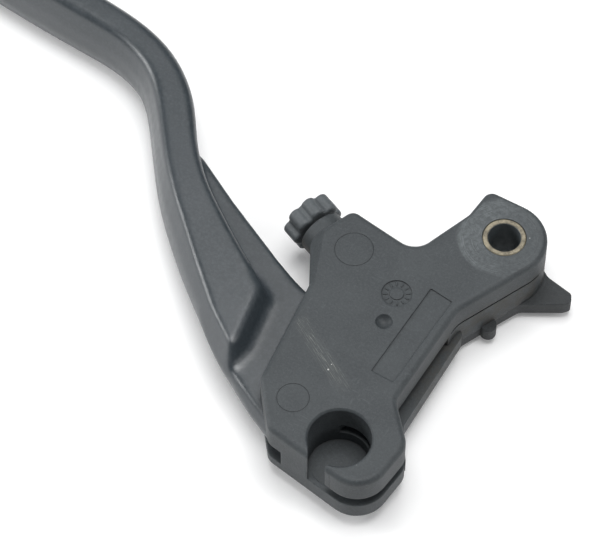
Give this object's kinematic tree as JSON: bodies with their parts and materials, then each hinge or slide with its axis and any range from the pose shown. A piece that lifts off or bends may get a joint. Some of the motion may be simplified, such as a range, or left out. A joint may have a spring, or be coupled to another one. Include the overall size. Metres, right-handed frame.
{
  "type": "motorcycle clutch lever with span adjuster",
  "caption": "Pivoting hand lever with a moulded carrier, a long curved blade ending in a ball, a cable hook and a lobed thumb wheel that sets the blade's reach.",
  "frame": {"origin": "on the pivot axis, at the middle of the pivot bush", "axes": "+Z along the pivot axis, out of the marked face of the carrier; -X towards the ball end of the blade; +Y towards the handlebar"},
  "size_m": [0.1987, 0.0829, 0.016],
  "materials": {
    "carrier_plastic": "matt glass-filled moulding, dark grey",
    "plate_plastic": "matt moulding, near black",
    "blade_paint": "satin dark grey paint on a fine cast skin",
    "knob_plastic": "soft matt black moulding",
    "bush_brass": "turned, dull with use",
    "insert_brass": "turned",
    "steel": "plain zinc-plated steel",
    "liner_plastic": "natural bearing plastic",
    "ring_rubber": "matt black"
  },
  "bodies": {
    "pivot": {"pivot_bush": "bush_brass"},
    "carrier": {"lever_body": "carrier_plastic", "switch_plate": "plate_plastic", "plate_rivets": "steel", "threaded_insert": "insert_brass", "return_spring": "steel"},
    "blade": {"lever_blade": "blade_paint", "hub_liner": "liner_plastic", "contact_pad": "steel", "upper_thrust_washer": "steel", "lower_thrust_washer": "steel"},
    "foot": {"screw_foot": "steel"},
    "knob": {"adjuster_knob": "knob_plastic", "adjuster_screw": "steel", "knob_pin": "steel", "knob_cap": "knob_plastic", "friction_ring": "ring_rubber", "travel_stop_ring": "steel", "foot_clip": "steel"}
  },
  "joints": [
    {"name": "lever_pivot", "type": "hinge", "parent": "pivot", "child": "carrier", "pos_m": [0, 0, 0], "axis": [0, 0, 1], "range_deg": [-28, 0]},
    {"name": "screw_advance", "type": "slide", "parent": "carrier", "child": "foot", "axis": [0.9121, -0.4099, 0], "range_m": [-0.002, 0.0005]},
    {"name": "knob_turn", "type": "hinge", "parent": "foot", "child": "knob", "pos_m": [-0.00976, -0.02171, 0.0009], "axis": [0.9121, -0.4099, 0], "range_deg": [-900, 226]},
    {"name": "blade_span", "type": "hinge", "parent": "carrier", "child": "blade", "pos_m": [0, 0, 0], "axis": [0, 0, 1], "range_deg": [-4.8, 1.2]}
  ],
  "couplings": [
    {"joint": "screw_advance", "follows": "blade_span", "m_per_rad": 0.0238},
    {"joint": "knob_turn", "follows": "blade_span", "ratio": 186.93}
  ]
}
